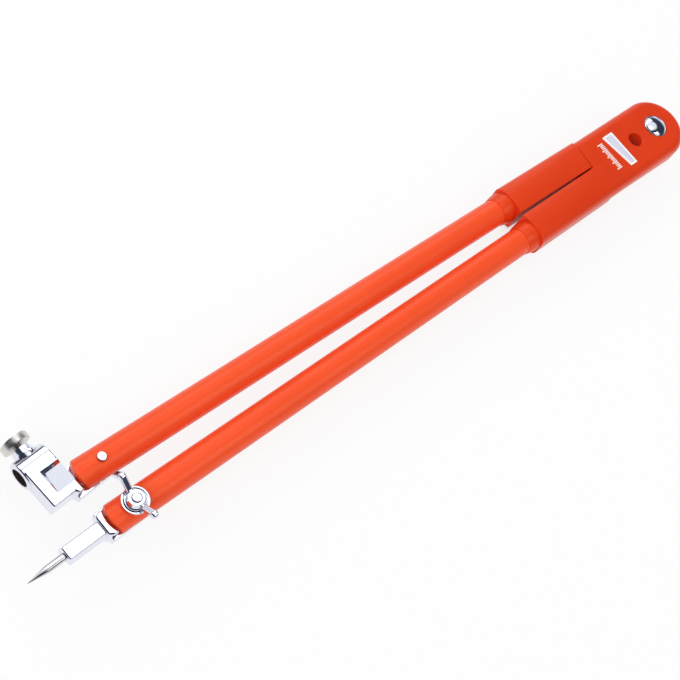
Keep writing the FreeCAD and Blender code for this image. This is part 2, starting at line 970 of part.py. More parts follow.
# Pencil clamp: a slab beside the tube end, with a barrel for the pencil along its far edge
# and a boss on the barrel for the thumb screw
clamp = new_body("pencil_clamp")
slab_far = s.slab_near + s.slab_length
barrel_z = s.slab_front - s.barrel_radius
tongue(clamp, "pencil_clamp", s.slab_near + s.neck_length)
layer(
    clamp,
    "clamp_slab",
    [
        (-s.slab_near, -s.neck_edge),
        (-s.slab_near, s.barrel_offset),
        (-slab_far, s.barrel_offset),
        (-slab_far, -s.slab_edge),
        (-s.slab_near - s.neck_length * 5 / 4, -s.slab_edge),
        (-s.slab_near - s.neck_length, -s.neck_edge),
    ],
    back_face,
    s.slab_front,
)
barrel_end = slab_far + s.barrel_overhang
barrel = new_sketch(
    clamp, "clamp_barrel", "YZ_Plane", across=s.barrel_offset, up=barrel_z, out=-barrel_end
)
ring(barrel, zero, zero, s.barrel_radius)
pad(clamp, barrel, barrel_end - s.slab_near)
screw_x = -s.slab_near - s.slab_length / 2
boss = new_sketch(clamp, "clamp_boss", "XY_Plane", across=screw_x, out=barrel_z)
boss_top = s.barrel_offset + s.boss_reach
boss_low = s.barrel_offset + s.pencil_bore / 2
trace(
    boss,
    [
        (zero, boss_low),
        (s.boss_base_diameter / 2, boss_low),
        (s.boss_top_diameter / 2, boss_top),
        (zero, boss_top),
    ],
)
turn(clamp, boss, "V_Axis")
recess = new_sketch(clamp, "clamp_recess", "YZ_Plane", out=-s.slab_near + s.overrun)
trace(
    recess,
    [
        (s.recess_top, s.slab_front + s.overrun),
        (-s.recess_bottom, s.slab_front + s.overrun),
        (-s.recess_bottom, s.slab_front),
        (s.recess_top - s.recess_slope, s.slab_front - s.recess_depth),
        (s.recess_top, s.slab_front),
    ],
)
cut(clamp, recess, s.recess_length + s.overrun)
bore = new_sketch(
    clamp,
    "pencil_bore",
    "YZ_Plane",
    across=s.barrel_offset,
    up=barrel_z,
    out=-s.slab_near + s.overrun,
)
ring(bore, zero, zero, s.pencil_bore / 2)
cut(clamp, bore, barrel_end - s.slab_near + s.overrun * 2)
screw_hole = new_sketch(clamp, "screw_hole", "XY_Plane", across=screw_x, out=barrel_z)
trace(
    screw_hole,
    box_corners(
        zero,
        s.barrel_offset,
        s.bolt_diameter / 2 + s.running_clearance,
        boss_top + s.overrun,
    ),
)
groove(clamp, screw_hole, "V_Axis")
drill(clamp, "clamp_hole", zero, zero, bolt_hole_radius, back_face - s.overrun, zero)
clamp_angle = s.clamp_swing - s.opening_angle
put(clamp, pencil_bolt[0], pencil_bolt[1], zero, clamp_angle)

# Thumb screw: a plain shank that grips the pencil, and a knurled disc on it
knob_low = boss_top + s.knob_gap
knob_high = knob_low + s.knob_thickness
shank = new_body("thumb_screw_shank")
shank_profile = new_sketch(shank, "shank_profile", "XY_Plane", across=screw_x, out=barrel_z)
shank_top = knob_high - s.knob_skin
shank_low = s.barrel_offset + s.pencil_bore / 2 + s.tip_set_back
trace(shank_profile, box_corners(zero, shank_low, s.bolt_diameter / 2, shank_top))
turn(shank, shank_profile, "V_Axis")
put(shank, pencil_bolt[0], pencil_bolt[1], zero, clamp_angle)

knob = new_body("thumb_screw_knob")
knob_profile = new_sketch(knob, "knob_profile", "XY_Plane", across=screw_x, out=barrel_z)
knob_radius = s.knob_diameter / 2
trace(
    knob_profile,
    [
        (s.bolt_diameter / 2, knob_low),
        (knob_radius - s.knob_chamfer, knob_low),
        (knob_radius, knob_low + s.knob_chamfer),
        (knob_radius, knob_high - s.knob_chamfer),
        (knob_radius - s.knob_chamfer, knob_high),
        (zero, knob_high),
        (zero, shank_top),
        (s.bolt_diameter / 2, shank_top),
    ],
)
turn(knob, knob_profile, "V_Axis")
put(knob, pencil_bolt[0], pencil_bolt[1], zero, clamp_angle)

doc.recompute()

faults = [
    "%s: %s" % (item.Name, ", ".join(item.State))
    for item in doc.Objects
    if "Invalid" in item.State or "Error" in item.State
]
pieces = [item for item in doc.Objects if item.TypeId == "PartDesign::Body"]
for piece in pieces:
    shape = piece.Shape
    if shape.isNull() or not shape.isValid() or not shape.Solids:
        faults.append("%s: no valid solid" % piece.Label)
if faults:
    raise RuntimeError("; ".join(faults))

for piece in pieces:
    piece.Shape.exportStep("parts/%s.step" % piece.Label)
    print("%-24s %d solid, %10.1f mm3" % (piece.Label, len(piece.Shape.Solids), piece.Shape.Volume))
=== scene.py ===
import bpy
from math import asin, atan2, cos, degrees, hypot, pi, radians, sin, sqrt
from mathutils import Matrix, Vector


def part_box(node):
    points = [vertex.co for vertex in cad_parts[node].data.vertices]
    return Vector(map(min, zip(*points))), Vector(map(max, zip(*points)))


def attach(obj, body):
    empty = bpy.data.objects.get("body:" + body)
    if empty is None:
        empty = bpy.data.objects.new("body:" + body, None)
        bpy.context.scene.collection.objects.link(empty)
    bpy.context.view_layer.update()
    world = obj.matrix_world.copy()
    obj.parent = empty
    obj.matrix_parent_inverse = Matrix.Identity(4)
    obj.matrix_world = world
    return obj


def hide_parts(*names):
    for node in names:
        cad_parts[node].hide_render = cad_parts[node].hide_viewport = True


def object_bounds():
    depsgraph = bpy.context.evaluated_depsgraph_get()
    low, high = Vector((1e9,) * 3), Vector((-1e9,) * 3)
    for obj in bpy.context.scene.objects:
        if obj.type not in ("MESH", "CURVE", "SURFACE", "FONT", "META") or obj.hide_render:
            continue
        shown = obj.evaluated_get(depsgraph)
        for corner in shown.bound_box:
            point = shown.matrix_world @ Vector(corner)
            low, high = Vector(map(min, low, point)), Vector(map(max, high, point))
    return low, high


# A large two-legged marking compass with orange legs, lying closed on its back.
# X runs from the feet to the head, Y towards the pencil leg, Z out of the front, in metres.
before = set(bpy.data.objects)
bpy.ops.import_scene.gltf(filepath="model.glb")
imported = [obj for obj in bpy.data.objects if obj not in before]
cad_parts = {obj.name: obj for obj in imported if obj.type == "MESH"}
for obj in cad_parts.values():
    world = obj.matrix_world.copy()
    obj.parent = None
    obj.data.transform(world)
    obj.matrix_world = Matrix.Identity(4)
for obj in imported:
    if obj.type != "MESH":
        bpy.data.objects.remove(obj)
cad_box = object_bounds()
mm = 0.001


# Moulded head. The two orange halves are injection mouldings, lapped over each other and
# hinged at the round end. Each ends in a sleeve that holds one tube, and both are pierced
# by a hole to hang the compass up by.
moulding_colour = (0.74, 0.042, 0.006, 1)
moulding_edge = 0.4 * mm


def new_material(name, colour, roughness, metallic=0.0):
    """A material with its shader, and the place on the piece that its patterns read."""
    material = bpy.data.materials.new(name)
    material.use_nodes = True
    shader = material.node_tree.nodes["Principled BSDF"]
    shader.inputs["Base Color"].default_value = colour
    shader.inputs["Roughness"].default_value = roughness
    shader.inputs["Metallic"].default_value = metallic
    return material, shader


def noise(material, scale, detail=4, stretch=(1, 1, 1)):
    """A noise pattern over the piece; scale is in grains for each metre."""
    nodes, links = material.node_tree.nodes, material.node_tree.links
    place = nodes.new("ShaderNodeTexCoord")
    mapping = nodes.new("ShaderNodeMapping")
    mapping.inputs["Scale"].default_value = stretch
    texture = nodes.new("ShaderNodeTexNoise")
    texture.inputs["Scale"].default_value = scale
    texture.inputs["Detail"].default_value = detail
    links.new(place.outputs["Object"], mapping.inputs["Vector"])
    links.new(mapping.outputs["Vector"], texture.inputs["Vector"])
    return texture.outputs["Fac"]


def between(material, pattern, low, high, socket, start=0.3, end=0.7):
    """Let a pattern run a shader's socket between two values or two colours."""
    nodes, links = material.node_tree.nodes, material.node_tree.links
    if isinstance(low, tuple):
        ramp = nodes.new("ShaderNodeValToRGB")
        ramp.color_ramp.elements[0].position = start
        ramp.color_ramp.elements[1].position = end
        ramp.color_ramp.elements[0].color = low
        ramp.color_ramp.elements[1].color = high
        links.new(pattern, ramp.inputs["Fac"])
        links.new(ramp.outputs["Color"], socket)
    else:
        ramp = nodes.new("ShaderNodeMapRange")
        for name, value in (("From Min", start), ("From Max", end), ("To Min", low), ("To Max", high)):
            ramp.inputs[name].default_value = value
        links.new(pattern, ramp.inputs["Value"])
        links.new(ramp.outputs["Result"], socket)


def relief(material, shader, pattern, depth, strength):
    """Raise and sink the surface by a pattern."""
    nodes, links = material.node_tree.nodes, material.node_tree.links
    bump = nodes.new("ShaderNodeBump")
    bump.inputs["Distance"].default_value = depth
    bump.inputs["Strength"].default_value = strength
    links.new(pattern, bump.inputs["Height"])
    links.new(bump.outputs["Normal"], shader.inputs["Normal"])


def moulded_orange():
    """Satin orange plastic with a fine spark-eroded grain and a little flow shading."""
    material, shader = new_material("moulded_orange", moulding_colour, 0.34)
    shader.inputs["Specular IOR Level"].default_value = 0.9
    shader.inputs["Specular Tint"].default_value = (1.0, 0.36, 0.18, 1)
    flow = noise(material, 22)
    darker = tuple(c * 0.94 for c in moulding_colour[:3]) + (1,)
    lighter = (moulding_colour[0] * 1.04, moulding_colour[1] * 1.1, moulding_colour[2] * 1.15, 1)
    between(material, flow, darker, lighter, shader.inputs["Base Color"])
    grain = noise(material, 1400, 2)
    between(material, grain, 0.30, 0.38, shader.inputs["Roughness"])
    relief(material, shader, grain, 0.05 * mm, 0.25)
    return material


def only(piece):
    """Make one piece the selected and active one."""
    bpy.ops.object.select_all(action="DESELECT")
    piece.select_set(True)
    bpy.context.view_layer.objects.active = piece


def merged_copy(node, name):
    """The solid's own shape as one smooth mesh, to be finished afterwards."""
    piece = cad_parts[node].copy()
    piece.data = piece.data.copy()
    piece.name = name
    bpy.context.scene.collection.objects.link(piece)
    only(piece)
    bpy.ops.object.mode_set(mode="EDIT")
    bpy.ops.mesh.select_all(action="SELECT")
    bpy.ops.mesh.remove_doubles(threshold=0.002 * mm)
    bpy.ops.mesh.dissolve_limited(angle_limit=radians(0.05))
    bpy.ops.object.mode_set(mode="OBJECT")
    return piece


def apply(piece, kind, **settings):
    """Add a modifier with its settings and apply it."""
    only(piece)
    modifier = piece.modifiers.new(kind.lower(), kind)
    for key, value in settings.items():
        setattr(modifier, key, value)
    bpy.ops.object.modifier_apply(modifier=modifier.name)


def rounded(piece, width, segments=3, sharp=35, clamp=False):
    """Round the sharp edges of a piece."""
    apply(
        piece,
        "BEVEL",
        width=width,
        segments=segments,
        limit_method="ANGLE",
        angle_limit=radians(sharp),
        use_clamp_overlap=clamp,
    )


def polished(piece, sharp=35, flat_area=1000):
    """Shade a piece smooth up to its sharp edges; faces over flat_area mm2 stay flat."""
    only(piece)
    bpy.ops.object.shade_smooth_by_angle(angle=radians(sharp))
    for face in piece.data.polygons:
        if face.area > flat_area * mm * mm and len(face.vertices) > 4:
            face.use_smooth = False
    apply(piece, "WEIGHTED_NORMAL", keep_sharp=True, weight=80)


def soften(piece, width, segments=3, sharp=35):
    """Round the sharp edges and shade the rest smooth."""
    rounded(piece, width, segments, sharp, True)
    polished(piece, sharp)


def dress(piece, material, body, slot, *nodes):
    """Give a finished piece its material, the body it rides on and the nodes it stands for."""
    piece.data.materials.clear()
    piece.data.materials.append(material)
    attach(piece, body)
    if nodes:
        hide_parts(*nodes)


moulding = moulded_orange()
for node, name, body in (
    ("head_front_half", "head_front_moulding", "needle_leg"),
    ("head_back_half", "head_back_moulding", "pencil_leg"),
):
    half = merged_copy(node, name)
    soften(half, moulding_edge, 2)
    dress(half, moulding, body, "orange_moulding", node)


# Label plate. A pale printed plate in a shallow seat of the front half: a white border
# about a lavender foil. The foil carries nothing.
label_border = 1.1 * mm
label_sink = 0.12 * mm
border_colour = (0.96, 0.95, 0.97, 1)
foil_colour = (0.76, 0.77, 0.90, 1)


def drawn(name, corners, low, high):
    """A prism over an outline that is drawn corner by corner, all in millimetres."""
    bpy.ops.object.select_all(action="DESELECT")
    bpy.ops.mesh.primitive_plane_add(size=mm)
    piece = bpy.context.active_object
    piece.name = name
    bpy.ops.object.mode_set(mode="EDIT")
    bpy.ops.mesh.select_mode(type="VERT")
    bpy.ops.mesh.merge(type="CENTER")
    bpy.ops.transform.translate(value=(corners[0][0] * mm, corners[0][1] * mm, low * mm))
    for here, there in zip(corners, corners[1:]):
        step = ((there[0] - here[0]) * mm, (there[1] - here[1]) * mm, 0)
        bpy.ops.mesh.extrude_region_move(TRANSFORM_OT_translate={"value": step})
    bpy.ops.mesh.select_all(action="SELECT")
    bpy.ops.mesh.edge_face_add()
    bpy.ops.mesh.extrude_region_move(TRANSFORM_OT_translate={"value": (0, 0, (high - low) * mm)})
    bpy.ops.mesh.select_all(action="SELECT")
    bpy.ops.mesh.normals_make_consistent(inside=False)
    bpy.ops.object.mode_set(mode="OBJECT")
    return piece


def settle(piece, place, angle=0.0):
    """Turn a piece about Z and move it to its place, then put that into its mesh."""
    only(piece)
    piece.location = place
    piece.rotation_euler = (0, 0, angle)
    bpy.ops.object.transform_apply(location=True, rotation=True, scale=True)


def pick_top(piece):
    """Go into edit mode with only the top face selected."""
    only(piece)
    bpy.ops.object.mode_set(mode="EDIT")
    bpy.ops.mesh.select_all(action="DESELECT")
    bpy.ops.object.mode_set(mode="OBJECT")
    top = max(piece.data.polygons, key=lambda face: (round(face.center.z, 7), face.area))
    top.select = True
    bpy.ops.object.mode_set(mode="EDIT")
    bpy.ops.mesh.select_mode(type="FACE")


def label_white():
    """White screen print on the border, with a faint mottle."""
    material, shader = new_material("label_white", border_colour, 0.35)
    mottle = noise(material, 900, 3)
    between(material, mottle, 0.3, 0.42, shader.inputs["Roughness"])
    relief(material, shader, mottle, 0.02 * mm, 0.2)
    return material


def label_foil():
    """Pale lavender foil with fine brushing along its length."""
    material, shader = new_material("label_foil", foil_colour, 0.4, 0.25)
    brushing = noise(material, 900, 3, (1, 0.06, 1))
    pale = (0.82, 0.83, 0.94, 1)
    between(material, brushing, foil_colour, pale, shader.inputs["Base Color"])
    between(material, brushing, 0.34, 0.46, shader.inputs["Roughness"])
    return material


label_low, label_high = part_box("label_plate")
label_slope = 3.4
x_near, x_far = label_high[0] / mm, label_low[0] / mm
y_low, y_high = label_low[1] / mm, label_high[1] / mm
label_corners = [(x_near, y_low), (x_near, y_high), (x_far, y_high), (x_far + label_slope, y_low)]
label = drawn("label_plate_print", label_corners, label_low[2] / mm, label_high[2] / mm)
pick_top(label)
bpy.ops.mesh.inset(thickness=label_border)
bpy.ops.mesh.inset(thickness=0.1 * mm, depth=-label_sink)
bpy.ops.object.mode_set(mode="OBJECT")
soften(label, 0.12 * mm, 2, 60)
dress(label, label_white(), "needle_leg", "label", "label_plate")
label.data.materials.append(label_foil())
foil_floor = label_high[2] - label_sink
for face in label.data.polygons:
    if abs(face.center.z - foil_floor) < 0.01 * mm and face.normal.z > 0.9:
        face.material_index = 1


# Printed scale. A row of plain white marks is pad-printed on the front half below the label.
# The print stands a few hundredths of a millimetre proud.
mark_count = 17
mark_pitch = 1.2
mark_width = 0.66
mark_long = 4.6
mark_short = 3.2
marks_x = -24.6
head_face = 9.2
print_thickness = 0.03


def pad_print():
    """White ink, slightly thin in places."""
    material, shader = new_material("pad_print", (0.92, 0.88, 0.88, 1), 0.45)
    wear = noise(material, 1600, 3)
    between(material, wear, (0.93, 0.87, 0.86, 1), (0.97, 0.95, 0.95, 1), shader.inputs["Base Color"], 0.3, 0.45)
    return material


ink = pad_print()
marks = []
for n in range(mark_count):
    middle = mark_count // 2
    y = (n - middle) * mark_pitch
    length = mark_long if (n - middle) % 4 == 0 else mark_short
    outline = [
        (marks_x, y - mark_width / 2),
        (marks_x, y + mark_width / 2),
        (marks_x - length, y + mark_width / 2),
        (marks_x - length, y - mark_width / 2),
    ]
    marks.append(drawn("scale_mark", outline, head_face - 0.02, head_face + print_thickness))
only(marks[0])
for mark in marks:
    mark.select_set(True)
bpy.ops.object.join()
marks[0].name = "printed_scale"
dress(marks[0], ink, "needle_leg", "label")


# Pivot. A chrome-plated bolt with a dished rim and a domed face holds the halves together;
# its lock nut and washer sit in a pocket at the back.
pivot_low, pivot_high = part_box("pivot_bolt")
pivot = ((pivot_low[0] + pivot_high[0]) / 2, (pivot_low[1] + pivot_high[1]) / 2, 0)
dome_radius = (pivot_high[0] - pivot_low[0]) / 2 / mm
dome_face = 9.7
dome_top = pivot_high[2] / mm
rim_width = 1.0
chrome_colour = (0.78, 0.80, 0.89, 1)


def turned(name, outline, steps=72):
    """A piece turned on a lathe about Z, from (radius, height) corners in millimetres."""
    bpy.ops.object.select_all(action="DESELECT")
    bpy.ops.mesh.primitive_plane_add(size=mm)
    piece = bpy.context.active_object
    piece.name = name
    bpy.ops.object.mode_set(mode="EDIT")
    bpy.ops.mesh.select_mode(type="VERT")
    bpy.ops.mesh.merge(type="CENTER")
    bpy.ops.transform.translate(value=(outline[0][0] * mm, 0, outline[0][1] * mm))
    for here, there in zip(outline, outline[1:]):
        step = ((there[0] - here[0]) * mm, 0, (there[1] - here[1]) * mm)
        bpy.ops.mesh.extrude_region_move(TRANSFORM_OT_translate={"value": step})
    bpy.ops.mesh.select_all(action="SELECT")
    bpy.ops.mesh.spin(steps=steps, angle=2 * pi, center=(0, 0, 0), axis=(0, 0, 1))
    bpy.ops.mesh.select_all(action="SELECT")
    bpy.ops.mesh.remove_doubles(threshold=0.001 * mm)
    bpy.ops.mesh.normals_make_consistent(inside=False)
    bpy.ops.object.mode_set(mode="OBJECT")
    return piece


def arc(centre, radius, start, end, steps=8):
    """Points on an arc between two angles in degrees."""
    angles = [radians(start + (end - start) * n / steps) for n in range(steps + 1)]
    return [(centre[0] + radius * cos(a), centre[1] + radius * sin(a)) for a in angles]


def chrome():
    """Bright chrome plating on a casting, with a slight unevenness under the plating."""
    material, shader = new_material("chrome", chrome_colour, 0.09, 1.0)
    cast = noise(material, 260, 2)
    relief(material, shader, cast, 0.04 * mm, 0.1)
    polish = noise(material, 90, 3)
    between(material, polish, 0.07, 0.13, shader.inputs["Roughness"])
    return material


def zinc():
    """Zinc-plated steel with a cloudy, slightly yellow film."""
    material, shader = new_material("zinc_plate", (0.62, 0.61, 0.58, 1), 0.3, 1.0)
    cloud = noise(material, 350, 5)
    between(material, cloud, (0.55, 0.54, 0.52, 1), (0.68, 0.67, 0.63, 1), shader.inputs["Base Color"])
    between(material, cloud, 0.25, 0.4, shader.inputs["Roughness"])
    return material


def nylon():
    """Milky nylon with faint mould flow."""
    material, shader = new_material("nylon", (0.72, 0.71, 0.66, 1), 0.45)
    shader.inputs["Subsurface Weight"].default_value = 0.1
    flow = noise(material, 120, 3)
    between(material, flow, (0.68, 0.67, 0.62, 1), (0.76, 0.75, 0.7, 1), shader.inputs["Base Color"])
    relief(material, shader, flow, 0.05 * mm, 0.2)
    return material


plating = chrome()
zinc_plate = zinc()
milky = nylon()

dome_sphere = ((dome_radius - rim_width) ** 2 + (dome_top - dome_face) ** 2) / (2 * (dome_top - dome_face))
dome_edge = degrees(asin((dome_radius - rim_width) / dome_sphere))
dome_arc = arc((0, dome_top - dome_sphere), dome_sphere, 90 - dome_edge, 90, 10)
bolt_outline = [
    (0, pivot_low[2] / mm),
    (2.7, pivot_low[2] / mm),
    (3, pivot_low[2] / mm + 0.3),
    (3, -3.6),
    (4, -3.6),
    (4, 7.8),
    (dome_radius, 7.8),
    (dome_radius, dome_face - 0.35),
    (dome_radius - 0.35, dome_face),
    (dome_radius - rim_width + 0.2, dome_face),
    (dome_radius - rim_width, dome_face - 0.15),
] + dome_arc
pivot_bolt = turned("pivot_bolt_domed", bolt_outline)
settle(pivot_bolt, pivot)
soften(pivot_bolt, 0.08 * mm, 2, 30)
dress(pivot_bolt, plating, "needle_leg", "chrome", "pivot_bolt")

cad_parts["pivot_friction_washer"].data.materials.clear()
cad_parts["pivot_friction_washer"].data.materials.append(milky)
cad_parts["pivot_bush"].data.materials.clear()
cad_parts["pivot_bush"].data.materials.append(milky)


def between_heights(node):
    """The lowest and highest Z of a node, in millimetres."""
    low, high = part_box(node)
    return low[2] / mm, high[2] / mm


def hexagon(flats, start=0):
    corner = flats / sqrt(3)
    return [(corner * cos(radians(60 * n + start)), corner * sin(radians(60 * n + start))) for n in range(6)]


def joined(piece, tool, operation):
    """Unite a piece with a tool, cut it or keep what they share; the tool is used up."""
    apply(piece, "BOOLEAN", object=tool, operation=operation, solver="EXACT")
    bpy.data.objects.remove(tool, do_unlink=True)


def hexagon_head(name, flats, low, high, bevel_low, bevel_high, start=0):
    """A hexagon whose corners are turned off at one or both ends."""
    piece = drawn(name, hexagon(flats, start), low, high)
    corner = flats / sqrt(3)
    face = flats * 0.475
    fall = (corner - face) * 0.5
    cone = [(0, low), (face if bevel_low else corner + 1, low)]
    cone += [(corner + 0.02, low + fall)] if bevel_low else []
    cone += [(corner + 0.02, high - fall), (face, high)] if bevel_high else [(corner + 1, high)]
    cone += [(0, high)]
    joined(piece, turned("chamfer", cone), "INTERSECT")
    return piece


nut_low, nut_high = between_heights("pivot_lock_nut")
lock_nut = hexagon_head("pivot_lock_nut_steel", 10, nut_low, nut_high, True, False)
joined(lock_nut, turned("thread", [(0, nut_low - 1), (3.03, nut_low - 1), (3.03, nut_high + 1), (0, nut_high + 1)]), "DIFFERENCE")
settle(lock_nut, pivot)
soften(lock_nut, 0.15 * mm, 2)
dress(lock_nut, zinc_plate, "needle_leg", "steel", "pivot_lock_nut")

washer_low, washer_high = between_heights("pivot_back_washer")
back_washer = turned(
    "pivot_back_washer_steel",
    [(3.02, washer_low), (6, washer_low), (6, washer_high), (3.02, washer_high), (3.02, washer_low)],
)
settle(back_washer, pivot)
soften(back_washer, 0.15 * mm, 2)
dress(back_washer, zinc_plate, "needle_leg", "steel", "pivot_back_washer")


# Legs. Steel tubes with an orange stove enamel, glued into the sleeves. The foot end is
# rounded in plan, and its back half is cut away to take the tongue of the foot.
tube_radius = 8.3
tube_wall = 1.2
end_radius = 11.5
end_shift = 3.4
end_edge = 0.55
open_back = 12
bolt_hole = 2.6
enamel_colour = (0.92, 0.078, 0.016, 1)
needle_low, needle_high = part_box("needle_clamp_bolt")
needle_bolt = ((needle_low[0] + needle_high[0]) / 2, (needle_low[1] + needle_high[1]) / 2, 0)
pencil_low, pencil_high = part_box("pencil_clamp_bolt")
pencil_bolt = ((pencil_low[0] + pencil_high[0]) / 2, (pencil_low[1] + pencil_high[1]) / 2, 0)
leg_lean = atan2(pencil_bolt[1], pivot[0] - pencil_bolt[0]) - atan2(-needle_bolt[1], pivot[0] - needle_bolt[0])
tube_low, tube_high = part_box("needle_leg_tube")
tube_end = (tube_high[0] - needle_bolt[0]) / mm


def enamel():
    """Satin-gloss orange enamel with a faint orange peel."""
    material, shader = new_material("orange_enamel", enamel_colour, 0.34)
    shader.inputs["Specular Tint"].default_value = (1.0, 0.6, 0.42, 1)
    tone = noise(material, 26, 3)
    darker = tuple(c * 0.97 for c in enamel_colour[:3]) + (1,)
    lighter = (enamel_colour[0] * 1.01, enamel_colour[1] * 1.06, enamel_colour[2] * 1.1, 1)
    between(material, tone, darker, lighter, shader.inputs["Base Color"])
    peel = noise(material, 520, 2)
    between(material, peel, 0.31, 0.37, shader.inputs["Roughness"])
    relief(material, shader, peel, 0.04 * mm, 0.1)
    return material


def along_x(name, section, near, far):
    """A bar along X with a given (y, z) section."""
    piece = drawn(name, section, near, far)
    only(piece)
    piece.rotation_euler = (pi / 2, 0, pi / 2)
    bpy.ops.object.transform_apply(location=True, rotation=True, scale=True)
    return piece


def rounded_where(piece, chosen, width, segments=5):
    """Round the edges that a test of their two ends picks out; all in millimetres."""
    only(piece)
    bpy.ops.object.mode_set(mode="EDIT")
    bpy.ops.mesh.select_mode(type="EDGE")
    bpy.ops.mesh.select_all(action="DESELECT")
    bpy.ops.object.mode_set(mode="OBJECT")
    points = piece.data.vertices
    for edge in piece.data.edges:
        here, there = (points[v].co / mm for v in edge.vertices)
        edge.select = chosen(here, there)
    bpy.ops.object.mode_set(mode="EDIT")
    bpy.ops.mesh.bevel(offset=width * mm, segments=segments, affect="EDGES")
    bpy.ops.object.mode_set(mode="OBJECT")


def leg_tube(name):
    """A tube along X from the rounded foot end, with its clamp bolt at the origin."""
    length = tube_end + end_shift + end_radius
    bpy.ops.object.select_all(action="DESELECT")
    bpy.ops.mesh.primitive_cylinder_add(
        vertices=96,
        radius=tube_radius * mm,
        depth=length * mm,
        end_fill_type="NOTHING",
        location=((tube_end - length / 2) * mm, 0, 0),
        rotation=(0, pi / 2, 0),
    )
    piece = bpy.context.active_object
    piece.name = name
    bpy.ops.object.transform_apply(location=True, rotation=True, scale=True)
    apply(piece, "SOLIDIFY", thickness=tube_wall * mm, offset=-1, use_even_offset=True)
    wide = tube_radius + 2
    sweep = degrees(asin(wide / end_radius))
    rounding = arc((-end_shift, 0), end_radius, 180 - sweep, 180 + sweep, 28)
    plan = [(tube_end + 2, wide)] + rounding + [(tube_end + 2, -wide)]
    joined(piece, drawn("plan", plan, -wide, wide), "INTERSECT")
    back = [(-30, -wide), (open_back, -wide), (open_back, wide), (-30, wide)]
    joined(piece, drawn("back", back, -wide, 0), "DIFFERENCE")
    joined(piece, drawn("hole", arc((0, 0), bolt_hole, 0, 350, 35), 0, wide), "DIFFERENCE")
    return piece


stove_enamel = enamel()
for name, node, body, slot, place, angle in (
    ("needle_leg_enamelled", "needle_leg_tube", "needle_leg", "orange_paint", needle_bolt, 0),
    ("pencil_leg_enamelled", "pencil_leg_tube", "pencil_leg", "orange_paint", pencil_bolt, -leg_lean),
):
    tube = leg_tube(name)
    settle(tube, place, angle)
    soften(tube, end_edge * mm, 4)
    dress(tube, stove_enamel, body, slot, node)


# Saddles. Orange fillers lie in the front half of each foot end, so that the clamp bolt
# can't crush the tube; only their ends show, painted with the tube.
saddle_gap = 0.15
saddle_length = 20


def saddle(name, node, body, place, angle):
    inner = tube_radius - tube_wall
    reach = end_shift + end_radius - saddle_gap
    section = arc((0, 0), inner, 0, 180, 32)
    piece = along_x(name, section, -reach, saddle_length - reach)
    sweep = degrees(asin((inner + 1) / (end_radius - saddle_gap)))
    plan = [(saddle_length, inner + 1)] + arc((-end_shift, 0), end_radius - saddle_gap, 180 - sweep, 180 + sweep, 24)
    joined(piece, drawn("plan", plan + [(saddle_length, -inner - 1)], -1, inner + 1), "INTERSECT")
    joined(piece, drawn("hole", arc((0, 0), bolt_hole, 0, 350, 35), -1, inner + 1), "DIFFERENCE")
    soften(piece, 0.25 * mm, 2)
    settle(piece, place, angle)
    dress(piece, stove_enamel, body, "orange_paint", node)


saddle("needle_leg_filler", "needle_leg_saddle", "needle_leg", needle_bolt, 0)
saddle("pencil_leg_filler", "pencil_leg_saddle", "pencil_leg", pencil_bolt, -leg_lean)


# Clamp bolts. Plated M5 hexagon bolts: the pencil leg shows the head at the front, and the
# needle leg shows the threaded end inside its wing nut.
thread_pitch = 0.8
hexagon_flats = 6.8
hexagon_height = 2.8


def threaded(name, low, high, radius=2.5):
    """A threaded shank with its ends turned to a chamfer."""
    outline = [(0, low), (radius - 0.45, low), (radius - 0.1, low + 0.4)]
    turns = int((high - low - 0.9) / thread_pitch)
    for n in range(turns):
        base = low + 0.4 + n * thread_pitch
        outline += [(radius - 0.32, base + 0.35), (radius, base + 0.7)]
    outline += [(radius - 0.1, high - 0.4), (radius - 0.45, high), (0, high)]
    return turned(name, outline, 40)


def clamp_bolt(name, node, body, place, angle, head_in_front):
    low, high = between_heights(node)
    head = hexagon_height
    if head_in_front:
        piece = hexagon_head(name, hexagon_flats, high - head, high, False, True)
        rounded(piece, 0.2 * mm, 3, 25)
        shank = threaded("shank", low, high - head / 2)
        dimple = turned("dimple", [(0, high - 0.25), (1.7, high - 0.25), (2.1, high + 0.1), (0, high + 0.1)])
        joined(piece, dimple, "DIFFERENCE")
    else:
        piece = hexagon_head(name, hexagon_flats, low, low + head, True, False)
        rounded(piece, 0.2 * mm, 3, 25)
        shank = threaded("shank", low + head / 2, high)
    joined(piece, shank, "UNION")
    settle(piece, place, angle)
    dress(piece, plating, body, "chrome", node)
    polished(piece, 32)


clamp_bolt("needle_clamp_bolt_plated", "needle_clamp_bolt", "needle_leg", needle_bolt, 0, False)
clamp_bolt("pencil_clamp_bolt_plated", "pencil_clamp_bolt", "pencil_leg", pencil_bolt, -leg_lean, True)

spacer_low, spacer_high = between_heights("needle_back_washer")
spacer = turned(
    "needle_back_washer_plated",
    [(2.52, spacer_low), (5, spacer_low), (5, spacer_high), (2.52, spacer_high), (2.52, spacer_low)],
)
settle(spacer, needle_bolt)
soften(spacer, 0.2 * mm, 2)
dress(spacer, plating, "needle_leg", "steel", "needle_back_washer")


# Dished washers and wing nuts. Pressed washers with a lifted rim lie under cast wing nuts;
# turned by hand they clamp each foot at its angle.
washer_radius = 7.2
washer_sheet = 1.2
washer_rim = 0.9
washer_lift = 0.5
nut_base = 5.5
nut_top = 4.3
nut_height = 4
wing_reach = 14
wing_tip = 2.1
wing_tip_height = 7
wing_thick = 3.6


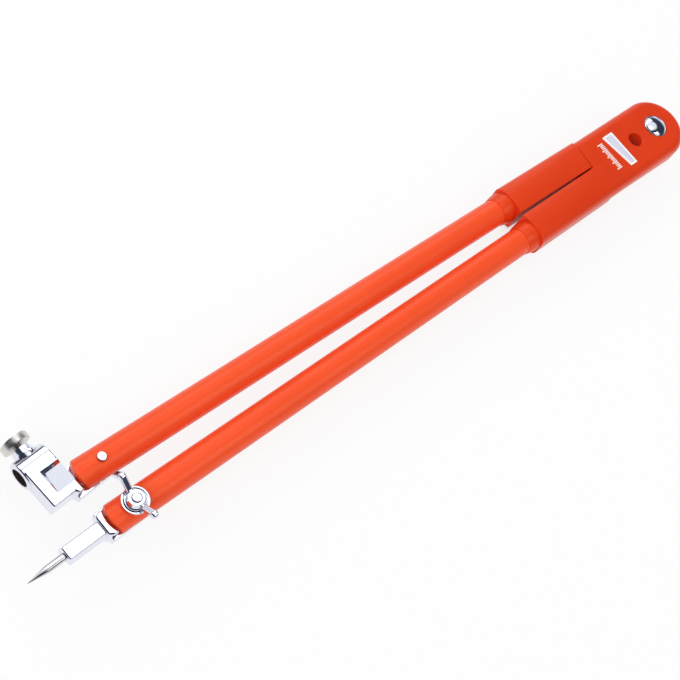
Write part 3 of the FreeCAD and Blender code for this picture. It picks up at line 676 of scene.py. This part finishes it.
def dished_washer(name, node, body, place, face, side):
    bore = 2.56
    well = washer_radius - washer_rim * 2
    outline = [
        (bore, 0),
        (well, 0),
        (washer_radius, washer_lift),
        (washer_radius, washer_lift + washer_sheet),
        (washer_radius - washer_rim, washer_lift + washer_sheet),
        (well, washer_sheet),
        (bore, washer_sheet),
        (bore, 0),
    ]
    piece = turned(name, [(r, face + side * z) for r, z in outline])
    soften(piece, 0.22 * mm, 3, 20)
    settle(piece, place)
    dress(piece, plating, body, "chrome", node)


def wing_nut(name, node, body, place, face, side, angle):
    bore = 2.56
    core = [
        (bore, 0),
        (nut_base, 0),
        (nut_base, 0.5),
        (nut_top, nut_height),
        (bore + 0.25, nut_height),
        (bore, nut_height - 0.25),
        (bore, 0),
    ]
    piece = turned(name, [(r, face + side * z) for r, z in core])
    tip_x = wing_reach - wing_tip
    for way in (0, 180):
        ball = arc((tip_x, wing_tip_height), wing_tip, -70, 140, 14)
        blade_outline = [(bore + 0.9, 0.95), (nut_base + 0.8, 1.5)] + ball + [(nut_top + 0.6, 3.7), (bore + 0.9, 3.5)]
        blade = drawn("wing", [(x, side * z) for x, z in blade_outline], -wing_thick / 2, wing_thick / 2)
        only(blade)
        blade.rotation_euler = (pi / 2, 0, 0)
        bpy.ops.object.transform_apply(location=True, rotation=True, scale=True)
        settle(blade, (0, 0, face * mm), radians(way))
        apply(
            blade,
            "BEVEL",
            width=1.1 * mm,
            segments=4,
            limit_method="ANGLE",
            angle_limit=radians(50),
        )
        joined(piece, blade, "UNION")
    soften(piece, 0.25 * mm, 2, 40)
    settle(piece, place, angle)
    dress(piece, plating, body, "chrome", node)


needle_wing_angle = radians(93)
pencil_wing_angle = radians(-37)
running_gap = 0.05
front_face = tube_radius
back_face = between_heights("pencil_dished_washer")[1]
dished_washer("needle_washer_plated", "needle_dished_washer", "needle_washer", needle_bolt, front_face, 1)
wing_nut(
    "needle_wing_nut_cast",
    "needle_wing_nut",
    "needle_nut",
    needle_bolt,
    front_face + washer_sheet + running_gap,
    1,
    needle_wing_angle,
)
dished_washer("pencil_washer_plated", "pencil_dished_washer", "pencil_washer", pencil_bolt, back_face, -1)
wing_nut(
    "pencil_wing_nut_cast",
    "pencil_wing_nut",
    "pencil_nut",
    pencil_bolt,
    back_face - washer_sheet - running_gap,
    -1,
    pencil_wing_angle,
)


# Needle foot. A chrome-plated zinc casting: a tongue in the open back of the tube, a knuckle
# that follows the tube's rounded end, and a faceted bar that holds the needle.
tongue_half = 8.2
tongue_back = -7.5
tongue_front = -0.1
foot_end = 15.4
knuckle_length = 4.2
knuckle_half = 6.9
knuckle_front = 5.5
bar_length = 21.2
needle_radius = 2.05
needle_swing = radians(1.9)


def tongue(name, reach):
    """The flat tongue of a foot, round about the clamp bolt and rounded along its back."""
    outline = arc((0, 0), tongue_half, 90, -90, 28) + [(-reach, -tongue_half), (-reach, tongue_half)]
    piece = drawn(name, outline, tongue_back, tongue_front)

    def along_back(here, there):
        low = max(here.z, there.z) < tongue_back + 0.01
        far = max(here.x, there.x) < 0.01 - reach
        return low and not far

    rounded_where(piece, along_back, 2)
    rounded(piece, 0.5 * mm, 3, 50)
    return piece


foot = tongue("needle_foot_cast", foot_end + knuckle_length / 2)
knuckle_far = foot_end + knuckle_length
sweep = degrees(asin(knuckle_half / foot_end))
knuckle_outline = arc((0, 0), foot_end, 180 - sweep, 180 + sweep, 16)
knuckle_outline += [(-foot_end - 1.6, -knuckle_half), (-knuckle_far, -5.4), (-knuckle_far, 5.4)]
knuckle_outline += [(-foot_end - 1.6, knuckle_half)]
knuckle = drawn("knuckle", knuckle_outline, tongue_back + 0.6, knuckle_front)
rounded(knuckle, 1.3 * mm, 5, 24)
joined(foot, knuckle, "UNION")
bar_end = knuckle_far + bar_length
bar_section = [(3.6, 4), (5, -2.4), (3.8, -4.6), (-3.8, -4.6), (-5, -2.4), (-3.6, 4)]
bar = along_x("bar", bar_section, -bar_end, -knuckle_far + knuckle_length / 2)
rounded(bar, 0.9 * mm, 5, 24)
joined(foot, bar, "UNION")
socket = along_x("socket", arc((0, 0), needle_radius, 0, 345, 23), -bar_end - 1, 12 - bar_end)
joined(foot, socket, "DIFFERENCE")
joined(foot, drawn("hole", arc((0, 0), bolt_hole, 0, 350, 35), -9, 1), "DIFFERENCE")
settle(foot, needle_bolt, needle_swing)
dress(foot, plating, "needle_foot", "chrome", "needle_foot")
polished(foot, 30)


# Needle. Hardened steel wire, ground to a long point and pressed into the bar.
needle_reach = 61.9
needle_cone = 11


def ground_steel():
    """Ground steel, with fine rings left by the wheel."""
    material, shader = new_material("ground_steel", (0.62, 0.62, 0.64, 1), 0.2, 1.0)
    rings = noise(material, 2600, 2, (1, 0.02, 0.02))
    between(material, rings, 0.16, 0.24, shader.inputs["Roughness"])
    relief(material, shader, rings, 0.004 * mm, 0.15)
    tone = noise(material, 160, 3)
    between(material, tone, (0.56, 0.56, 0.58, 1), (0.68, 0.68, 0.70, 1), shader.inputs["Base Color"])
    return material


needle = turned(
    "needle_point_ground",
    [
        (0, bar_end - 12),
        (needle_radius, bar_end - 12),
        (needle_radius, needle_reach - needle_cone),
        (needle_radius * 0.62, needle_reach - needle_cone * 0.6),
        (0.2, needle_reach - 0.2),
        (0, needle_reach),
    ],
    48,
)
only(needle)
needle.rotation_euler = (0, -pi / 2, 0)
bpy.ops.object.transform_apply(location=True, rotation=True, scale=True)
soften(needle, 0.1 * mm, 2, 30)
settle(needle, needle_bolt, needle_swing)
dress(needle, ground_steel(), "needle_foot", "ground_steel", "needle_point")


# Pencil clamp. A chrome-plated casting: the same tongue, a flat slab beside the tube's end
# with a sloping recess in its front, a barrel bored for the pencil, and a boss for the
# thumb screw. The bore is coloured near-black as painted shade for its dark inside.
slab_near = 15.6
slab_length = 17.3
slab_front = 5.3
slab_edge = 4.7
neck_edge = 6.6
neck_length = 3.4
barrel_offset = 18.3
barrel_radius = 7.8
barrel_height = slab_front - barrel_radius
pencil_bore = 5.3
boss_reach = 11.6
recess_depth = 1.9
recess_top = 13.2
recess_low = 0.3
recess_length = 11
clamp_swing = radians(5.4) - leg_lean
screw_x = -slab_near - slab_length / 2

clamp = tongue("pencil_clamp_cast", slab_near + neck_length)
slab_far = slab_near + slab_length
slab_outline = [
    (-slab_near, -neck_edge),
    (-slab_near, barrel_offset),
    (-slab_far, barrel_offset),
    (-slab_far, -slab_edge),
    (-slab_near - neck_length * 1.25, -slab_edge),
    (-slab_near - neck_length, -neck_edge),
]
slab = drawn("slab", slab_outline, tongue_back, slab_front)
rounded(slab, 1.0 * mm, 5, 24)
joined(clamp, slab, "UNION")
barrel_end = slab_far + 0.8
ring = [(barrel_offset + y, barrel_height + z) for y, z in arc((0, 0), barrel_radius, 0, 355, 71)]
barrel = along_x("barrel", ring, -barrel_end, -slab_near)
rounded(barrel, 1.1 * mm, 5, 40)
joined(clamp, barrel, "UNION")


def on_boss(piece):
    """Lay a piece that was made about Z along the boss, before the clamp is swung."""
    only(piece)
    piece.rotation_euler = (-pi / 2, 0, 0)
    piece.location = (screw_x * mm, barrel_offset * mm, barrel_height * mm)
    bpy.ops.object.transform_apply(location=True, rotation=True, scale=True)
    return piece


boss_outline = [(0, 4), (6.2, 4), (6.2, 7.2), (5.8, 8.2), (5.4, 9.2), (5, boss_reach - 0.5), (4.5, boss_reach), (0, boss_reach)]
joined(clamp, on_boss(turned("boss", boss_outline)), "UNION")
lip = 0.35
slope = [
    (recess_top + lip, slab_front + 1),
    (recess_top + lip, slab_front),
    (recess_top - 0.1, slab_front - 0.2),
    (recess_top - recess_depth, slab_front - recess_depth),
    (-recess_low, slab_front),
    (-recess_low, slab_front + 1),
]
recess = along_x("recess", slope, -slab_near - recess_length - 2, -slab_near + 2)
recess_side = -slab_near - recess_length
side = [
    (recess_side - lip, slab_front + 1),
    (recess_side - lip, slab_front),
    (recess_side + 0.1, slab_front - 0.2),
    (recess_side + recess_depth, slab_front - recess_depth),
    (-slab_near + 2, slab_front - recess_depth - 1),
    (-slab_near + 2, slab_front + 1),
]
side_slope = drawn("side", side, -20, 2)
only(side_slope)
side_slope.rotation_euler = (pi / 2, 0, 0)
bpy.ops.object.transform_apply(location=True, rotation=True, scale=True)
joined(recess, side_slope, "INTERSECT")
joined(clamp, recess, "DIFFERENCE")
bore = [(barrel_offset + y, barrel_height + z) for y, z in arc((0, 0), pencil_bore, 0, 350, 35)]
joined(clamp, along_x("bore", bore, -barrel_end - 2, -slab_near + 2), "DIFFERENCE")
screw_hole = on_boss(turned("screw_hole", [(0, 0), (2.55, 0), (2.55, 14), (0, 14)], 36))
joined(clamp, screw_hole, "DIFFERENCE")
joined(clamp, drawn("hole", arc((0, 0), bolt_hole, 0, 350, 35), -9, 1), "DIFFERENCE")


def bore_painted_shade():
    """Near-black painted shade for the inside of the pencil bore, with a faint mottle and bump."""
    material, shader = new_material("bore_painted_shade", (0.035, 0.028, 0.026, 1), 0.6)
    shade_mottle = noise(material, 700, 4)
    between(material, shade_mottle, (0.02, 0.016, 0.016, 1), (0.06, 0.048, 0.04, 1), shader.inputs["Base Color"])
    relief(material, shader, shade_mottle, 0.06 * mm, 0.4)
    return material


dress(clamp, plating, "pencil_clamp", "chrome", "pencil_clamp")
# The faces inside the pencil bore get the near-black painted shade.
clamp.data.materials.append(bore_painted_shade())
for face in clamp.data.polygons:
    from_axis = hypot(face.center.y - barrel_offset * mm, face.center.z - barrel_height * mm)
    if abs(from_axis - pencil_bore * mm) < 0.1 * mm and abs(face.normal.x) < 0.1:
        face.material_index = 1
settle(clamp, pencil_bolt, clamp_swing)
polished(clamp, 30, 30)


# Thumb screw. A knurled nickel-plated brass disc on a threaded shank, whose tip grips
# the pencil in the bore.
knob_low = boss_reach + 1.4
knob_thick = 4
knob_radius = 8
knurl_count = 64
knurl_depth = 0.28


def nickel():
    """Warm, slightly dull nickel plating."""
    material, shader = new_material("nickel", (0.72, 0.69, 0.65, 1), 0.34, 1.0)
    cloud = noise(material, 300, 4)
    between(material, cloud, (0.62, 0.59, 0.55, 1), (0.80, 0.77, 0.73, 1), shader.inputs["Base Color"])
    between(material, cloud, 0.26, 0.42, shader.inputs["Roughness"])
    relief(material, shader, cloud, 0.03 * mm, 0.2)
    return material


shank = threaded("thumb_screw_thread", 5.4, knob_low + 3)
settle(on_boss(shank), pencil_bolt, clamp_swing)
polished(shank, 32)
dress(shank, zinc_plate, "screw_shank", "steel", "thumb_screw_shank")

knob_outline = [
    (0, knob_low),
    (knob_radius - 0.6, knob_low),
    (knob_radius - 0.15, knob_low + 0.15),
    (knob_radius, knob_low + 0.6),
    (knob_radius, knob_low + knob_thick - 0.6),
    (knob_radius - 0.15, knob_low + knob_thick - 0.15),
    (knob_radius - 0.6, knob_low + knob_thick),
    (5.2, knob_low + knob_thick),
    (4.6, knob_low + knob_thick - 0.4),
    (0, knob_low + knob_thick - 0.4),
]
knob = turned("thumb_screw_knurled", knob_outline, knurl_count * 2)
for vertex in knob.data.vertices:
    column = round(atan2(vertex.co.y, vertex.co.x) * knurl_count / pi)
    vertex.select = column % 2 == 1 and hypot(vertex.co.x, vertex.co.y) > (knob_radius - 0.3) * mm
only(knob)
bpy.ops.object.mode_set(mode="EDIT")
knurl_shrink = 1 - knurl_depth / knob_radius
bpy.ops.transform.resize(value=(knurl_shrink, knurl_shrink, 1), center_override=(0, 0, 0))
bpy.ops.object.mode_set(mode="OBJECT")
shank_room = turned("room", [(0, knob_low - 1), (2.52, knob_low - 1), (2.52, knob_low + 3), (0, knob_low + 3)], 36)
joined(knob, shank_room, "DIFFERENCE")
settle(on_boss(knob), pencil_bolt, clamp_swing)
polished(knob, 20)
dress(knob, nickel(), "screw_knob", "nickel", "thumb_screw_knob")


# Floor. A plain white table top just under the compass. It shows white to the camera and in
# the plating and keeps a soft part of the shadow. Deep in the slit between the legs an
# ambient-occlusion mask cuts its glow, which is painted shade.
floor_drop = 0.1 * mm
floor_white = 0.86
crevice_depth = 16 * mm


def seen_directly(material_nodes, material_links):
    """1 where a ray comes from the camera, from a mirror or through glass, otherwise 0."""
    rays = material_nodes.new("ShaderNodeLightPath")
    total = rays.outputs["Is Camera Ray"]
    for other in ("Is Glossy Ray", "Is Transmission Ray"):
        either = material_nodes.new("ShaderNodeMath")
        either.operation = "MAXIMUM"
        material_links.new(total, either.inputs[0])
        material_links.new(rays.outputs[other], either.inputs[1])
        total = either.outputs["Value"]
    return total


bpy.ops.object.select_all(action="DESELECT")
bpy.ops.mesh.primitive_plane_add(size=16, location=(-0.2, 0, cad_box[0][2] - floor_drop))
floor = bpy.context.active_object
floor.name = "floor"
table, table_shader = new_material("table_white", (0.9, 0.9, 0.9, 1), 0.8)
nodes, links = table.node_tree.nodes, table.node_tree.links
glow = nodes.new("ShaderNodeEmission")
share = nodes.new("ShaderNodeMath")
share.operation = "MULTIPLY"
share.inputs[1].default_value = floor_white
mixed = nodes.new("ShaderNodeMixShader")
# Painted shade: ambient occlusion takes the glow away where the floor is hemmed in, so the slit goes dark.
painted_crevice_shade = nodes.new("ShaderNodeAmbientOcclusion")
painted_crevice_shade.inputs["Distance"].default_value = crevice_depth
open_floor = nodes.new("ShaderNodeMapRange")
open_floor.inputs["From Min"].default_value = 0.08
open_floor.inputs["From Max"].default_value = 0.38
links.new(painted_crevice_shade.outputs["AO"], open_floor.inputs["Value"])
lit = nodes.new("ShaderNodeMath")
lit.operation = "MULTIPLY"
links.new(seen_directly(nodes, links), share.inputs[0])
links.new(share.outputs["Value"], lit.inputs[0])
links.new(open_floor.outputs["Result"], lit.inputs[1])
links.new(lit.outputs["Value"], mixed.inputs["Fac"])
links.new(table_shader.outputs["BSDF"], mixed.inputs[1])
links.new(glow.outputs["Emission"], mixed.inputs[2])
links.new(mixed.outputs["Shader"], nodes["Material Output"].inputs["Surface"])
floor.data.materials.append(table)


# Studio. A white ceiling panel over the feet and pale walls low down, with a dark room
# between them that gives the plating its dark lines. Soft boxes hang on both sides, overhead
# and behind the camera; the last one is a fill that leaves no image in the plating.
panel_direction = (0.25, 0.30, 0.92)
room_fill = 0.48
panel_stops = ((0.0, (0, 0, 0)), (0.55, (0.0, 0.0, 0.01)), (0.88, (0.04, 0.05, 0.08)), (0.94, (0.98, 0.98, 1.0)))
wall_stops = ((0.0, (0.78, 0.79, 0.84)), (0.12, (0.72, 0.73, 0.80)), (0.2, (0.06, 0.07, 0.10)), (0.5, (0.03, 0.04, 0.06)))
world = bpy.data.worlds.new("studio")
bpy.context.scene.world = world
world.use_nodes = True
nodes, links = world.node_tree.nodes, world.node_tree.links
direction = nodes.new("ShaderNodeTexCoord")
toward = nodes.new("ShaderNodeVectorMath")
toward.operation = "DOT_PRODUCT"
toward.inputs[1].default_value = panel_direction
height = nodes.new("ShaderNodeSeparateXYZ")


def band(stops, pattern):
    """A colour ramp through the given stops, run by a value."""
    ramp = nodes.new("ShaderNodeValToRGB")
    ends = ramp.color_ramp.elements
    for n, (position, colour) in enumerate(stops):
        stop = ends[0] if n == 0 else ends[-1] if n == len(stops) - 1 else ends.new(position)
        stop.position = position
        stop.color = colour + (1,)
    links.new(pattern, ramp.inputs["Fac"])
    return ramp.outputs["Color"]


links.new(direction.outputs["Generated"], toward.inputs[0])
links.new(direction.outputs["Generated"], height.inputs["Vector"])
room = nodes.new("ShaderNodeMix")
room.data_type = "RGBA"
room.blend_type = "LIGHTEN"
room.inputs["Factor"].default_value = 1
links.new(band(wall_stops, height.outputs["Z"]), room.inputs["A"])
links.new(band(panel_stops, toward.outputs["Value"]), room.inputs["B"])
choice = nodes.new("ShaderNodeMix")
choice.data_type = "RGBA"
choice.inputs["A"].default_value = (room_fill, room_fill, room_fill, 1)
links.new(room.outputs["Result"], choice.inputs["B"])
links.new(seen_directly(nodes, links), choice.inputs["Factor"])
links.new(choice.outputs["Result"], nodes["Background"].inputs["Color"])


def soft_box(name, place, aim, width, length, brightness):
    """A rectangular lamp of a given surface brightness that looks at a point; long along X."""
    bpy.ops.object.light_add(type="AREA", location=place)
    lamp = bpy.context.active_object
    lamp.name = name
    lamp.data.shape = "RECTANGLE"
    lamp.data.size = length
    lamp.data.size_y = width
    lamp.data.energy = pi * width * length * brightness
    lamp.rotation_euler = (atan2(place[1] - aim[1], place[2] - aim[2]) * -1, 0, 0)
    lamp.visible_camera = False
    return lamp


soft_box("box_needle_side", (0.08, -0.62, 0.82), (0, 0, 0), 0.6, 0.62, 2.2)
soft_box("box_pencil_side", (0.15, 0.80, 0.60), (0, 0, 0), 0.55, 1.6, 1.7)
soft_box("box_overhead", (-0.05, 0.24, 1.2), (0, 0.24, 0), 0.5, 0.5, 1.3)
fill = soft_box("fill_behind_camera", (-1.5, -0.15, 0.95), (0, -0.15, 0), 0.9, 1.0, 3.2)
fill.rotation_euler = (0, -radians(52), 0)
fill.visible_glossy = False


# Camera, at the photograph's place.
camera_place = (-0.60904, -0.11303, 0.59944)
camera_turn = (26.725, -17.663, -41.024)
camera_lens = 68.72
bpy.ops.object.camera_add(location=camera_place, rotation=[radians(a) for a in camera_turn])
camera = bpy.context.active_object
camera.data.lens = camera_lens
camera.data.dof.use_dof = False
bpy.context.scene.camera = camera
bpy.context.scene.view_settings.view_transform = "Standard"
